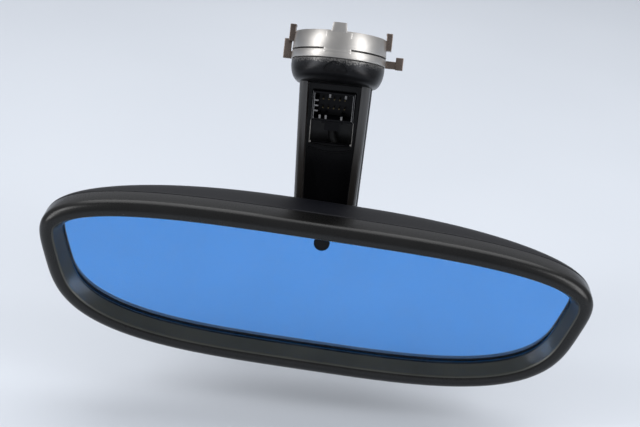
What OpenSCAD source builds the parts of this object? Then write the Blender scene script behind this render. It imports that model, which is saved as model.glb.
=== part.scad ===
// Interior rearview mirror: a self-dimming head on a ball joint, carried by an
// arm that snaps onto the windscreen plate with a sprung foot.
// Row frame: origin at the centre of the foot's seating face, +X to the viewer's
// right, +Y towards the windscreen, +Z up.  Millimetres.

/* [Head] */
// Half width of the head at mid height
head_half_w = 125; // [100:0.5:140]
// Height of the outline above its centre line
head_top = 35.5; // [28:0.5:42]
// Height of the outline below its centre line
head_bottom = 41; // [32:0.5:48]
// Squareness of the outline: 2 is an ellipse
head_square = 3.35; // [2.4:0.05:4.5]
// How much the outline widens from the bottom to the top
head_taper = 0.105; // [0:0.005:0.2]
// Depth of the front bezel's side wall
bezel_depth = 14; // [11:0.5:20]
// Depth of the rear housing behind the bezel
housing_depth = 28; // [24:0.5:40]
// Wall of the bezel and of the rear housing
shell_wall = 2.2; // [1.6:0.1:3]
// Width of the bezel's rounded lip
lip_w = 7.2; // [5:0.1:9]
// Inset of the visible glass edge from the outline
glass_inset = 9.9; // [8:0.1:13]
// Depth of the glass face behind the front of the lip
glass_depth = 9.3; // [6:0.1:12]
// Roll of the head on its ball at rest, in degrees
head_roll = 3.4; // [-8:0.1:8]
// Swivel of the head on its ball at rest, in degrees
head_swivel = 2.4; // [-8:0.1:8]

/* [Glass cell] */
// Thickness of the front glass
front_glass_t = 1.8; // [1.1:0.1:2.4]
// Thickness of the dimming gel layer
gel_t = 0.3; // [0.2:0.05:0.6]
// Thickness of the mirror glass
mirror_glass_t = 1.8; // [1.1:0.1:2.4]
// Thickness of the adhesive foam pad
foam_t = 0.8; // [0.5:0.1:1.5]
// Thickness of the carrier plate
carrier_t = 1.8; // [1.2:0.1:2.5]
// Thickness of the circuit board
board_t = 1.6; // [0.8:0.1:2]
// Radius of the glare sensor's window
sensor_r = 3.6; // [2.5:0.1:5]

/* [Ball joint] */
// Radius of the ball
ball_r = 10; // [8:0.25:12]
// Depth of the ball's centre behind the front of the lip
ball_depth = 30; // [29:0.25:33]
// Radius of the neck behind the ball
neck_r = 5.5; // [4.5:0.1:6]
// Radius of the wire bore through the neck
wire_bore_r = 2.6; // [2:0.1:3]
// Radius of the opening in the rear housing round the neck
collar_r = 14; // [13:0.25:17]

/* [Arm] */
// Width of the arm at its top
arm_top_w = 33.5; // [28:0.5:36]
// Width of the arm at its foot end
arm_low_w = 30; // [26:0.5:34]
// Thickness of the arm, front to back
arm_t = 14; // [12:0.5:18]
// Width of each side rail
rail_w = 4; // [3:0.25:5]
// Depth of the front channel between the rails
channel_depth = 4; // [2.5:0.25:5]
// Distance from the ball's centre back to the arm's front
arm_setback = 23.2; // [23:0.1:28]
// Drop from the seating face to the ball's centre
ball_drop = 98; // [90:1:125]

/* [Foot] */
// Lean of the seating face's normal towards the windscreen, in degrees
seat_lean = 24; // [10:1:35]
// Radius of the bore that takes the windscreen plate
seat_r = 17.5; // [15:0.25:19]
// Height of the collar wall above the seating face
collar_h = 4; // [3:0.25:6]
// Radius of the foot's bowl
bowl_r = 22.2; // [19.4:0.1:24]
// Height of the bowl and its band below the seating face
bowl_h = 18; // [15:0.5:24]
// Sheet thickness of the spring clip
clip_t = 0.8; // [0.6:0.1:1.2]

/* [Connector] */
// Width of the socket's opening
socket_w = 18; // [14:0.25:18.5]
// Height of the socket's opening
socket_h = 12.5; // [9:0.25:13]
// Depth of the socket
socket_depth = 7; // [6.5:0.25:7.5]
// Number of terminals in each of the two rows
terminals = 5; // [3:1:6]

/* [Hidden] */

outline_n = 96;      // points round the head's outline
fit = 0.1;           // gap between pieces that seat on each other
run = 0.06;          // radial gap between sliding spherical faces
clear = 0.3;         // gap between pieces that only pass each other

// Places along the head's own +Y, from the front of the lip
gel_y = glass_depth + front_glass_t;
mirror_y = gel_y + gel_t;
foam_y = mirror_y + mirror_glass_t;
carrier_y = foam_y + foam_t;
parting_y = bezel_depth;
housing_y = parting_y + 0.2;
housing_end = housing_y + housing_depth;

// Ball and arm places in the row frame
arm_y = -bowl_h * sin(seat_lean) - 0.7;       // centre line of the arm
arm_front = arm_y - arm_t / 2;
ball_pos = [0, arm_front - arm_setback, -ball_drop];

// Spherical layers of the ball joint
liner_r = ball_r + run;
liner_out = liner_r + 1.1;
cup_r = liner_out + run;
cup_out = cup_r + 1.1;
socket_ball_r = cup_out + run;
retainer_r = socket_ball_r + 2;
socket_out = 19.5;

// ---------- placing ----------
module in_head() translate(ball_pos) rotate([0, head_roll, head_swivel])
    translate([0, -ball_depth, 0]) children();
module at_ball() translate(ball_pos) children();
module in_foot() rotate([-seat_lean, 0, 0]) children();
module along_y(y) translate([0, y, 0]) rotate([-90, 0, 0]) children();

// ---------- outlines and lofts ----------
function signed_pow(v, p) = sign(v) * pow(abs(v), p);

// A point of the tapered superellipse at angle t
function outline_pt(t, a, top, bottom, n, k) =
    let (s = sin(t), z = (s >= 0 ? top : bottom) * signed_pow(s, 2 / n))
    [a * signed_pow(cos(t), 2 / n) * (1 + k * z / bottom), z];

// The same point moved inwards by d along the outline's normal
function inset_pt(t, d, a, top, bottom, n, k) =
    let (p = outline_pt(t, a, top, bottom, n, k),
         q = outline_pt(t + 0.5, a, top, bottom, n, k) - outline_pt(t - 0.5, a, top, bottom, n, k),
         l = norm(q))
    [p[0] - d * q[1] / l, p[1] + d * q[0] / l];

function head_pt(t, d) = inset_pt(t, d, head_half_w, head_top, head_bottom, head_square, head_taper);
function head_outline(d) = [for (i = [0 : outline_n - 1]) head_pt((i + 0.5) * 360 / outline_n, d)];

// A ring of the head's outline, inset by d, at depth y
function head_ring(d, y) = [for (p = head_outline(d)) [p[0], y, p[1]]];

// Two triangles for each cell between ring i and ring j
function band(i, j, n) = [for (q = [0 : n - 1], half = [0, 1])
    let (r = (q + 1) % n)
    half == 0 ? [i * n + q, j * n + q, j * n + r] : [i * n + q, j * n + r, i * n + r]];

// Rings joined to each other and back to the first, as a closed tube
module ring_loft(rings) {
    n = len(rings[0]);
    m = len(rings);
    polyhedron([for (r = rings) each r], [for (i = [0 : m - 1]) each band(i, (i + 1) % m, n)]);
}

// Rings joined in order, closed by a flat face at each end
module capped_loft(rings) {
    n = len(rings[0]);
    m = len(rings);
    polyhedron([for (r = rings) each r],
        [[for (q = [0 : n - 1]) q],
         for (i = [0 : m - 2]) each band(i, i + 1, n),
         [for (q = [n - 1 : -1 : 0]) (m - 1) * n + q]]);
}

// A flat plate of the head's outline, inset by d, from depth y and t thick
module head_plate(d, y, t) translate([0, y + t, 0]) rotate([90, 0, 0]) linear_extrude(t) polygon(head_outline(d));

// ---------- front bezel ----------
lip_r = 4.6;                 // outer rounding of the lip
lip_in_r = lip_w - lip_r;    // inner rounding of the lip
lip_steps = 5;
bevel_y = 1.6;               // depth at which the lip turns into the inner bevel

bezel_profile = [
    [glass_inset, glass_depth - fit - 0.8],
    for (i = [0 : lip_steps]) let (t = 90 * i / lip_steps)
        [lip_r + lip_in_r * cos(t), bevel_y * (1 - sin(t))],
    for (i = [1 : lip_steps]) let (t = 90 * i / lip_steps)
        [lip_r * (1 - sin(t)), lip_r * (1 - cos(t))],
    [0, parting_y],
    [shell_wall, parting_y],
    [shell_wall, lip_r + 1],
    [lip_r - 0.6, shell_wall + 0.4],
    [lip_r + 1, shell_wall + 0.4],
    [glass_inset - shell_wall, glass_depth - fit],
    [glass_inset, glass_depth - fit]];

module front_bezel() color([0.07, 0.07, 0.08]) in_head()
    ring_loft([for (p = bezel_profile) head_ring(p[0], p[1])]);

// ---------- rear housing ----------
housing_steps = 11;

// Size of the housing's outline at share v of its depth, as the wall w thins it
function housing_ring(v, w, y0, depth) = let (
        fx = pow(1 - pow(v, 2), 0.62),
        fz = pow(1 - pow(v, 4), 0.4),
        a = collar_r + (head_half_w - w - collar_r) * fx,
        top = collar_r + (head_top - w - collar_r) * fz,
        bottom = collar_r + (head_bottom - w - collar_r) * fz,
        n = 2 + (head_square - 2) * fz)
    [for (i = [0 : outline_n - 1])
        let (p = outline_pt((i + 0.5) * 360 / outline_n, a, top, bottom, n, head_taper * fx))
        [p[0], y0 + depth * v, p[1]]];

function depth_shares(m) = [for (j = [0 : m]) sin(90 * j / m)];

module rear_housing_shell() ring_loft([
    for (v = depth_shares(housing_steps)) housing_ring(v, 0, housing_y, housing_depth),
    for (j = [housing_steps : -1 : 0])
        housing_ring(depth_shares(housing_steps)[j], shell_wall, housing_y, housing_depth - shell_wall)]);

ambient_pos = [38, 20];      // x and z of the forward light sensor
ambient_r = 3;

module rear_housing() color([0.06, 0.06, 0.07]) in_head() difference() {
    rear_housing_shell();
    translate([ambient_pos[0], housing_y + 5, ambient_pos[1]]) rotate([-90, 0, 0])
        cylinder(r = ambient_r + fit, h = housing_depth, $fn = 48);
}

// ---------- glass cell ----------
window_gap = 0.15;               // round the sensor window in the layers of the cell
cell_inset = glass_inset - 2;    // the cell's edge lies behind the bezel's bevel
sensor_pos = [0.6, 22.9];        // x and z of the glare sensor in the head

module sensor_hole(r, y, t) translate([sensor_pos[0], y, sensor_pos[1]]) rotate([-90, 0, 0])
    cylinder(r = r, h = t, $fn = 64);

module front_glass() color([0.55, 0.72, 0.9]) in_head() difference() {
    head_plate(cell_inset, glass_depth, front_glass_t);
    sensor_hole(sensor_r + 0.05, glass_depth - 1, front_glass_t + 2);
}

module sensor_window() color([0.03, 0.03, 0.04]) in_head()
    sensor_hole(sensor_r, glass_depth + 0.05, window_end - glass_depth - 0.05);

module gel_layer() color([0.35, 0.5, 0.5]) in_head() difference() {
    head_plate(cell_inset + 1.4, gel_y, gel_t);
    sensor_hole(sensor_r + window_gap, gel_y - 1, gel_t + 2);
}

module cell_seal() color([0.2, 0.2, 0.22]) in_head() difference() {
    head_plate(cell_inset + 0.4, gel_y, gel_t);
    translate([0, -1, 0]) head_plate(cell_inset + 1.4, gel_y, gel_t + 2);
    sensor_hole(sensor_r + window_gap, gel_y - 1, gel_t + 2);
}

module mirror_glass() color([0.7, 0.74, 0.78]) in_head() difference() {
    head_plate(cell_inset + 0.4, mirror_y, mirror_glass_t);
    sensor_hole(sensor_r + window_gap, mirror_y - 1, mirror_glass_t + 2);
}

// Two thin strips that feed the cell, one along each long edge
busbar_len = 120;
busbar_t = 0.25;
module busbar_clips() color([0.75, 0.6, 0.3]) in_head() intersection() {
    difference() {
        head_plate(cell_inset + 0.1 - busbar_t, gel_y + 0.05, gel_t + mirror_glass_t - 0.1);
        translate([0, -1, 0]) head_plate(cell_inset + 0.1, gel_y, gel_t + mirror_glass_t + 2);
    }
    translate([-busbar_len / 2, 0, -60]) cube([busbar_len, 40, 120]);
}

module foam_pad() color([0.15, 0.15, 0.16]) in_head() difference() {
    head_plate(cell_inset + 2.4, foam_y, foam_t);
    translate([sensor_pos[0] - sensor_r - 1.5, foam_y - 1, sensor_pos[1] - sensor_r - 1.5])
        cube([2 * sensor_r + 3, foam_t + 2, 40]);
}

// ---------- carrier and board ----------
board_w = 176;
board_h = 46;
board_y = carrier_y + carrier_t + 2;
board_hole_r = socket_out + 1;
spacer_r = 2.4;
spacer_pos = [[-80, -16], [-80, 16], [80, -16], [80, 16]];
screw_r = 1.25;
screw_head_r = 2.3;
screw_head_h = 1.5;

module spot(p, y) translate([p[0], y, p[1]]) rotate([-90, 0, 0]) children();

module glass_carrier() color([0.12, 0.12, 0.13]) in_head() difference() {
    union() {
        head_plate(shell_wall + 1.2, carrier_y, carrier_t);
        difference() {
            head_plate(cell_inset - 0.6, foam_y + 0.1, foam_t + 0.2);
            translate([0, -1, 0]) head_plate(cell_inset + 1, foam_y, foam_t + 3);
        }
    }
    sensor_hole(sensor_r + 1, carrier_y - 1, carrier_t + 2);
    for (p = spacer_pos) spot(p, carrier_y - 1) cylinder(r = screw_r + fit, h = carrier_t + 2, $fn = 32);
}

module board_outline() difference() {
    union() {
        translate([-board_w / 2, -board_h / 2]) square([board_w, board_h]);
        translate([-34, 10]) square([68, 18]);
    }
    circle(r = board_hole_r, $fn = 96);
    translate([10, -4]) square([20, 8]);
}

module circuit_board() color([0.05, 0.3, 0.15]) in_head() difference() {
    translate([0, board_y + board_t, 0]) rotate([90, 0, 0]) linear_extrude(board_t) board_outline();
    for (p = spacer_pos) spot(p, board_y - 1) cylinder(r = screw_r + fit, h = board_t + 2, $fn = 32);
}

module board_spacers() color([0.8, 0.8, 0.75]) in_head() for (p = spacer_pos)
    spot(p, carrier_y + carrier_t) difference() {
        cylinder(r = spacer_r, h = board_y - carrier_y - carrier_t, $fn = 48);
        translate([0, 0, -1]) cylinder(r = screw_r + fit, h = 20, $fn = 32);
    }

module board_screws() color([0.6, 0.6, 0.62]) in_head() for (p = spacer_pos) {
    spot(p, carrier_y + 0.2) cylinder(r = screw_r, h = board_y + board_t - carrier_y, $fn = 32);
    spot(p, board_y + board_t) cylinder(r = screw_head_r, h = screw_head_h, $fn = 48);
}

// Chips, coils and capacitors on the board's back, each [x, z, width, height, depth]
chips = [[-52, 4, 12, 12, 2], [-34, -10, 7, 5, 1.6], [-68, -12, 5, 8, 3], [-60, 15, 10, 4, 1.8],
         [48, -6, 9, 9, 1.8], [64, 12, 6, 6, 4], [30, 16, 8, 4, 1.5], [68, -12, 10, 5, 2.5]];

module board_components() color([0.1, 0.1, 0.11]) in_head() for (c = chips)
    translate([c[0] - c[2] / 2, board_y + board_t, c[1] - c[3] / 2]) cube([c[2], c[4], c[3]]);

// The glare sensor looks back through the window in the glass
window_end = mirror_y + 1;      // back of the sensor window
module glare_sensor() color([0.1, 0.1, 0.12]) in_head() sensor_hole(sensor_r - 0.6, window_end, board_y - window_end);

module ambient_sensor() color([0.1, 0.1, 0.12]) in_head()
    spot(ambient_pos, board_y + board_t) cylinder(r = ambient_r - 0.4, h = 2.5, $fn = 48);

ambient_lens_y = board_y + board_t + 2.5;
ambient_lens_end = 36.2;
module ambient_lens() color([0.25, 0.25, 0.28]) in_head()
    spot(ambient_pos, ambient_lens_y) cylinder(r = ambient_r, h = ambient_lens_end - ambient_lens_y, $fn = 48);

// ---------- ball joint ----------
web_t = 2;                // web between the arm's front channel and rear pocket
side_wall = 2;
bore_flare_r = 8.6;       // flared wire bore, 2 mm in front of the ball
flange_r = 9.4;
flange_t = 3;
stud_end = arm_setback + channel_depth;   // back face of the flange, from the ball's centre
stud_screw_z = neck_r + 1.85;
stud_screw_r = 1.2;

// Half profile of the stud: ball, neck and flange, less the flared wire bore
module stud_profile() difference() {
    union() {
        circle(r = ball_r, $fn = 128);
        translate([-neck_r, -stud_end]) square([2 * neck_r, stud_end]);
        translate([-flange_r, -stud_end]) square([2 * flange_r, flange_t]);
    }
    polygon([[-50, -50], [wire_bore_r, -50], [wire_bore_r, 0], [bore_flare_r, ball_r + 2], [bore_flare_r, 50], [-50, 50]]);
}

module ball_stud() color([0.55, 0.56, 0.58]) at_ball() difference() {
    rotate([90, 0, 0]) rotate_extrude($fn = 128) stud_profile();
    for (s = [-1, 1]) translate([0, 0, s * stud_screw_z])
        along_y(stud_end - flange_t - 1) cylinder(r = stud_screw_r + fit, h = flange_t + 2, $fn = 32);
}

module stud_screws() color([0.6, 0.6, 0.62]) at_ball() for (s = [-1, 1]) translate([0, 0, s * stud_screw_z]) {
    along_y(stud_end - flange_t) cylinder(r = stud_screw_r, h = flange_t + web_t - 0.2, $fn = 32);
    along_y(stud_end - flange_t - 1.2) cylinder(r = stud_screw_r + 0.55, h = 1.2, $fn = 48);
}

// A spherical shell about the ball, open at the front and round the neck
module sphere_layer(r_in, r_out, front_deg, rear_deg) rotate([90, 0, 0]) rotate_extrude($fn = 128)
    difference() {
        intersection() {
            circle(r = r_out, $fn = 128);
            polygon([[0, 0], [40 * sin(front_deg), 40 * cos(front_deg)], [60, 40], [60, -40],
                     [40 * sin(rear_deg), -40 * cos(rear_deg)]]);
        }
        circle(r = r_in, $fn = 128);
    }

module ball_liner() color([0.85, 0.85, 0.8]) at_ball() sphere_layer(liner_r, liner_out, 42, 54);
module friction_cup() color([0.45, 0.46, 0.48]) at_ball() sphere_layer(cup_r, cup_out, 42, 54);

socket_front = 22;        // depth of the socket's front face in the head
socket_end = housing_end - shell_wall - 0.4;   // its back face, against the housing
retainer_t = 2;
retainer_screw_r = 17;

// A cone of half angle a about the joint's front (1) or rear (-1), as a half profile
module cone_cut(a, side) polygon([[0, 0], [50 * sin(a), side * 50 * cos(a)], [0, side * 60]]);
module revolved_about_ball() in_head() translate([0, ball_depth, 0]) rotate([90, 0, 0]) rotate_extrude($fn = 128) children();
module ring_holes(y, h) in_head() for (a = [90, 210, 330])
    spot([retainer_screw_r * cos(a), retainer_screw_r * sin(a)], y) cylinder(r = screw_r + fit, h = h, $fn = 32);

// Ball socket: spherical seat at the back, cylindrical mouth at the front
module ball_socket() color([0.2, 0.2, 0.21]) difference() {
    revolved_about_ball() difference() {
        translate([0, ball_depth - socket_end]) square([socket_out, socket_end - socket_front]);
        circle(r = socket_ball_r, $fn = 128);
        square([retainer_r, 50]);
        cone_cut(55, -1);
    }
    ring_holes(socket_front - 1, 9);
}

// Retainer: closes the socket's mouth and carries the front half of the seat
module socket_retainer() color([0.3, 0.3, 0.31]) difference() {
    revolved_about_ball() difference() {
        union() {
            translate([0, 0.5]) square([retainer_r - fit, ball_depth - socket_front]);
            translate([0, ball_depth - socket_front]) square([socket_out, retainer_t]);
        }
        circle(r = socket_ball_r, $fn = 128);
        cone_cut(44, 1);
    }
    ring_holes(socket_front - retainer_t - 1, 9);
}

module retainer_screws() color([0.6, 0.6, 0.62]) in_head() for (a = [90, 210, 330])
    spot([retainer_screw_r * cos(a), retainer_screw_r * sin(a)], socket_front - retainer_t - 0.9) {
        cylinder(r = screw_head_r, h = 0.9, $fn = 48);
        cylinder(r = screw_r, h = 9, $fn = 32);
    }

// ---------- arm ----------
arm_low_z = -ball_drop - flange_r - 4;
web_back = arm_front + channel_depth + web_t;
split_y = web_back + 2;                  // arm shell ends here, rear cover starts
cover_y = arm_front + arm_t;             // back face of the rear cover
cover_lip = 0.7;                         // rear cover stands this far outside the arm
cover_wall = 1.6;

// The arm seen from the front, inset by d, between heights z0 and z1
function arm_half_w(z) = let (s = min(1, max(0, (-bowl_h - z) / (ball_drop - bowl_h) * 1.2)))
    (arm_top_w + (arm_low_w - arm_top_w) * s) / 2;
function arm_side(d, z0, z1, rc) = concat(
    [for (i = [0 : 5]) let (z = z1 + (z0 + rc - z1) * i / 5) [arm_half_w(z) - d, z]],
    [for (i = [1 : 5]) let (t = 18 * i) [arm_half_w(z0) - d - rc + rc * cos(t), z0 + rc - rc * sin(t)]]);
module arm_outline(d, z0, z1, rc) let (p = arm_side(d, z0, z1, rc), n = len(p))
    polygon(concat(p, [for (i = [n - 1 : -1 : 0]) [-p[i][0], p[i][1]]]));
// The same outline as a slab from depth y0 to y1, its lower corners rounded by rc
module arm_slab(d, z0, z1, y0, y1, rc = 0.3) translate([0, y1, 0]) rotate([90, 0, 0]) linear_extrude(y1 - y0)
    arm_outline(d, z0, z1, rc);
corner_r = 7;

// Height of the bowl's flat underside at depth y
function under_z(y) = (-bowl_h - y * sin(seat_lean)) / cos(seat_lean);

// Everything above the bowl's flat underside
module above_foot() in_foot() translate([-60, -60, -bowl_h]) cube([120, 120, 80]);
module bore_y(x, z, y0, y1, r) translate([x, y0, z]) rotate([-90, 0, 0]) cylinder(r = r, h = y1 - y0, $fn = 48);

socket_front_y = arm_front + 2.2;
socket_back_y = socket_front_y + socket_depth + 1.4;
window_w = 21;
window_top = under_z(socket_back_y) - 0.15;
window_h = 27;
ledge_z = window_top - window_h;
ledges = [[60, 1.4], [31, 4.2]];         // radius and drop below the window of each curved ledge
block_bottom = window_top - 4;           // underside of the solid block under the foot
cover_screw_z = [-58, -80];
boss_r = 3.2;
foot_screw_x = 12.4;
foot_screw_y = ((web_back + cover_y - cover_wall) / 2 + (bowl_h + 2.3) * sin(seat_lean)) / cos(seat_lean);
foot_screw_r = 1.6;

module arm_shell() color([0.04, 0.04, 0.045]) difference() {
    union() {
        difference() {
            arm_slab(0, arm_low_z, 0, arm_front, split_y, corner_r);
            arm_slab(rail_w, arm_low_z + 3, 1, arm_front - 1, arm_front + channel_depth, corner_r - 3);
            arm_slab(side_wall, arm_low_z + 2, block_bottom, web_back, split_y + 1, corner_r - 2);
        }
        arm_slab(side_wall + fit, block_bottom, 0, web_back - 0.5, cover_y - cover_wall);
        for (z = cover_screw_z) bore_y(0, z, web_back - 0.5, cover_y - cover_wall, boss_r);
        // two curved ledges under the window
        for (l = ledges) intersection() {
            translate([0, arm_front + channel_depth - 0.8, ledge_z - l[1] + l[0]]) rotate([-90, 0, 0]) difference() {
                cylinder(r = l[0], h = 1.2, $fn = 256);
                translate([0, 0, -1]) cylinder(r = l[0] - 0.8, h = 4, $fn = 256);
            }
            translate([-window_w / 2, arm_front, ledge_z - 6]) cube([window_w, channel_depth + 0.4, 5.6]);
        }
    }
    above_foot();
    translate([-window_w / 2, arm_front + channel_depth - 2, ledge_z]) cube([window_w, web_t + 40, window_h]);
    bore_y(0, -ball_drop, arm_front, web_back + 1, wire_bore_r + clear);
    for (s = [-1, 1]) bore_y(0, -ball_drop + s * stud_screw_z, arm_front, web_back + 1, stud_screw_r + fit);
    for (z = cover_screw_z) bore_y(0, z, web_back, cover_y + 1, screw_r + fit);
    for (s = [-1, 1]) foot_bore(s * foot_screw_x, -bowl_h - 5, -bowl_h + 1, foot_screw_r + fit);
}

// Rear cover: a tray that closes the back of the arm
module arm_rear_cover() color([0.05, 0.05, 0.055]) difference() {
    arm_slab(-cover_lip, arm_low_z - 0.5, 0, split_y, cover_y, corner_r);
    arm_slab(cover_wall, arm_low_z + 1.5, 1, split_y - 1, cover_y - cover_wall, corner_r - 2);
    above_foot();
    for (z = cover_screw_z) bore_y(0, z, cover_y - cover_wall - 1, cover_y + 1, screw_r + fit);
}

module cover_screws() color([0.55, 0.55, 0.57]) for (z = cover_screw_z) {
    bore_y(0, z, cover_y, cover_y + 1.2, screw_head_r);
    bore_y(0, z, web_back + 0.3, cover_y + 0.1, screw_r);
}

// ---------- connector ----------
socket_wall = 1.1;
socket_top = window_top - socket_wall - 0.15;
socket_low = socket_top - socket_h;

rib_l = 2;                // how far a rib stands out, with 0.2 in the wall

module rib(x, z, w, h) translate([x - w / 2, socket_front_y + 0.6, z - h / 2]) cube([w, socket_depth, h]);

module connector_housing() color([0.03, 0.03, 0.035]) difference() {
    union() {
        difference() {
            translate([-socket_w / 2 - socket_wall, socket_front_y, socket_low - socket_wall])
                cube([socket_w + 2 * socket_wall, socket_back_y - socket_front_y, socket_h + 2 * socket_wall]);
            translate([-socket_w / 2, socket_front_y - 1, socket_low]) cube([socket_w, socket_depth + 1, socket_h]);
        }
        // keying ribs inside the socket
        for (z = [-1, 0, 1]) rib(-socket_w / 2 + rib_l / 2 - 0.2, socket_low + socket_h / 2 + z * 2.6, rib_l, 0.8);
        for (x = [-1.9, 5.6]) rib(x, socket_low + socket_h - rib_l / 2 + 0.2, 1, rib_l);
        for (x = [-6.1, -3.2, 4.3]) rib(x, socket_low + rib_l / 2 - 0.2, 1, rib_l);
    }
    for (p = pin_places()) bore_y(p[0], p[1], socket_front_y + socket_depth - 1, socket_back_y + 1, 0.4);
}

pin_pitch = 2.6;
function pin_places() = [for (i = [0 : terminals - 1], row = [-1, 1])
    [(i - (terminals - 1) / 2) * pin_pitch, socket_low + socket_h / 2 + row * 2.2]];

module connector_pins() color([0.8, 0.7, 0.4]) for (p = pin_places())
    bore_y(p[0], p[1], socket_front_y + 4.6, socket_back_y - 0.2, 0.35);

// Trim frame that lines the window in the arm
module connector_bezel() color([0.25, 0.25, 0.27]) difference() {
    translate([-window_w / 2 + 0.05, arm_front + channel_depth - 0.9, ledge_z + 0.05])
        cube([window_w - 0.1, 0.9 + web_t, window_h - 0.1]);
    translate([-window_w / 2 + 0.4, arm_front, ledge_z + 0.6]) cube([window_w - 0.8, 20, window_h]);
    translate([-window_w / 2 - 1, arm_front, socket_low - socket_wall - 0.1]) cube([window_w + 2, 20, 30]);
}

// Sprung latch that holds the plug, under the socket
module connector_latch() color([0.04, 0.04, 0.05]) {
    translate([-5, socket_front_y + 1.5, socket_low - socket_wall - 1.6]) cube([10, 2.6, 1.6]);
    translate([-3.5, socket_front_y + 1.5, socket_low - socket_wall - 5]) cube([7, 1.4, 3.4]);
}

// ---------- harness ----------
harness_r = 1.8;
inner_harness_r = 1.5;
tube_n = 12;

// A tube swept along a path; ref is any direction the path never follows
function tube_ring(c, dir, ref, r) = let (d = dir / norm(dir), w = cross(d, ref), v = w / norm(w), u = cross(v, d))
    [for (i = [0 : tube_n - 1]) c + r * (cos(360 * i / tube_n) * u + sin(360 * i / tube_n) * v)];
function path_dir(p, i) = let (a = p[min(i + 1, len(p) - 1)] - p[i], b = p[i] - p[max(i - 1, 0)])
    (norm(a) > 0 ? a / norm(a) : a) + (norm(b) > 0 ? b / norm(b) : b);
module tube(path, ref, r) capped_loft([for (i = [0 : len(path) - 1]) tube_ring(path[i], path_dir(path, i), ref, r)]);

// A corner of the path rounded into three points
function corner(a, b, c, d) = let (u = (a - b) / norm(a - b), v = (c - b) / norm(c - b))
    [b + u * d, b + (u + v) * d * 0.3, b + v * d];

harness_y = web_back + harness_r + clear;
harness_x = boss_r + harness_r + 0.8;
hp = [[0, harness_y + 1.2, socket_low - socket_wall - 0.15], [0, harness_y + 0.6, ledge_z + 2],
      [harness_x, harness_y, cover_screw_z[0] + 7], [harness_x, harness_y, cover_screw_z[1] - 7],
      [0, harness_y, -ball_drop], [0, ball_pos[1] + 2.6, -ball_drop]];
harness_path = concat([hp[0]], corner(hp[0], hp[1], hp[2], 3), corner(hp[1], hp[2], hp[3], 3),
    corner(hp[2], hp[3], hp[4], 3), corner(hp[3], hp[4], hp[5], 2.4), [hp[5]]);

module arm_harness() color([0.12, 0.12, 0.13]) tube(harness_path, [1, 0, 0], harness_r);

plug_x = 31;
loom_y = (carrier_y + carrier_t + socket_front - retainer_t) / 2;
lp = [[0, ball_depth, 0], [0, loom_y, 0], [20, loom_y, 0], [25.5, board_y + board_t + 2.6, 0], [plug_x - 0.02, board_y + board_t + 2.6, 0]];
loom_path = concat([lp[0]], corner(lp[0], lp[1], lp[2], 2.2), corner(lp[1], lp[2], lp[3], 1.6),
    corner(lp[2], lp[3], lp[4], 1.6), [lp[4]]);

module head_harness() color([0.12, 0.12, 0.13]) in_head() tube(loom_path, [0, 0, 1], inner_harness_r);

module harness_plug() color([0.9, 0.9, 0.85]) in_head()
    translate([plug_x, board_y + board_t, -5]) cube([8, 5.4, 10]);

// ---------- foot ----------
clip_r = bowl_r + 0.2;    // outer radius of the clip
band_top = -3.6;          // the clip's lower band, between these heights
band_bottom = -7.2;
slit = 0.7;
wall_top = 5.4;
tab_top = 8.6;
ear_y = 1.4;              // place of the release ears along the foot
rim_z = band_bottom - fit;

module foot_bore(x, z0, z1, r) in_foot() translate([x, foot_screw_y, z0]) cylinder(r = r, h = z1 - z0, $fn = 48);

module foot_housing() color([0.25, 0.26, 0.28]) difference() {
    in_foot() difference() {
        rotate_extrude($fn = 128) polygon([
            [0, -bowl_h], [arm_top_w / 2 + 0.6, -bowl_h],
            for (i = [0 : 10]) let (t = 90 * i / 10)
                [arm_top_w / 2 + 0.6 + (bowl_r - arm_top_w / 2 - 0.6) * sin(t), rim_z - 1.6 - (bowl_h + rim_z - 1.8) * cos(t)],
            [bowl_r, rim_z], [seat_r + 1.4, rim_z], [seat_r + 1.4, collar_h], [seat_r, collar_h], [seat_r, 0], [0, 0]]);
        // release notch under the clip's front strap
        translate([0, -bowl_r - 3, rim_z - 7.4]) rotate([-90, 0, 0]) cylinder(r = 6, h = 5, $fn = 64);
    }
    for (s = [-1, 1]) foot_bore(s * foot_screw_x, -bowl_h - 1, 1, foot_screw_r + fit);
    for (s = [-1, 1]) foot_bore(s * foot_screw_x, -2.4, 1, foot_screw_r * 2 + fit);
}

module foot_screws() color([0.6, 0.6, 0.62]) for (s = [-1, 1]) {
    foot_bore(s * foot_screw_x, -bowl_h - 4.6, -2.4, foot_screw_r);
    foot_bore(s * foot_screw_x, -2.4, -0.4, foot_screw_r * 2);
}

module clip_ring(z0, z1) rotate_extrude($fn = 128) translate([clip_r - clip_t, z0]) square([clip_t, z1 - z0]);

// Part of a ring of the clip, w wide, at angle a
module clip_piece(a, w, z0, z1) intersection() {
    clip_ring(z0, z1);
    rotate([0, 0, a]) translate([0, -w / 2, z0 - 1]) cube([60, w, z1 - z0 + 2]);
}

module spring_clip() color([0.72, 0.73, 0.75]) in_foot() {
    clip_ring(band_top + slit, wall_top);
    clip_ring(band_bottom, band_top);
    for (a = [-90, 90]) clip_piece(a, 13, band_top - 0.5, band_top + slit + 0.5);
    for (a = [-90, 90]) clip_piece(a, 7, wall_top - 0.5, tab_top + 0.6);
    // side tabs that catch the windscreen plate
    for (s = [-1, 1]) translate([s * (clip_r + 0.6) - 1.5, -2.5, wall_top - 5]) cube([3, 5, tab_top - wall_top + 5.5]);
    // release ears at the ends of the band
    translate([-clip_r - 4.2, ear_y, band_bottom]) cube([4.4, clip_t, band_top - band_bottom]);
    translate([-clip_r - 4.2, ear_y - 1, band_bottom]) cube([3.6, clip_t + 0.4, 9.4]);
    translate([clip_r - 0.3, ear_y, band_bottom]) cube([7, clip_t, band_top - band_bottom]);
    translate([clip_r + 4.6, ear_y - 1, band_bottom - 0.4]) cube([3.6, clip_t + 0.4, 6]);
}

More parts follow.
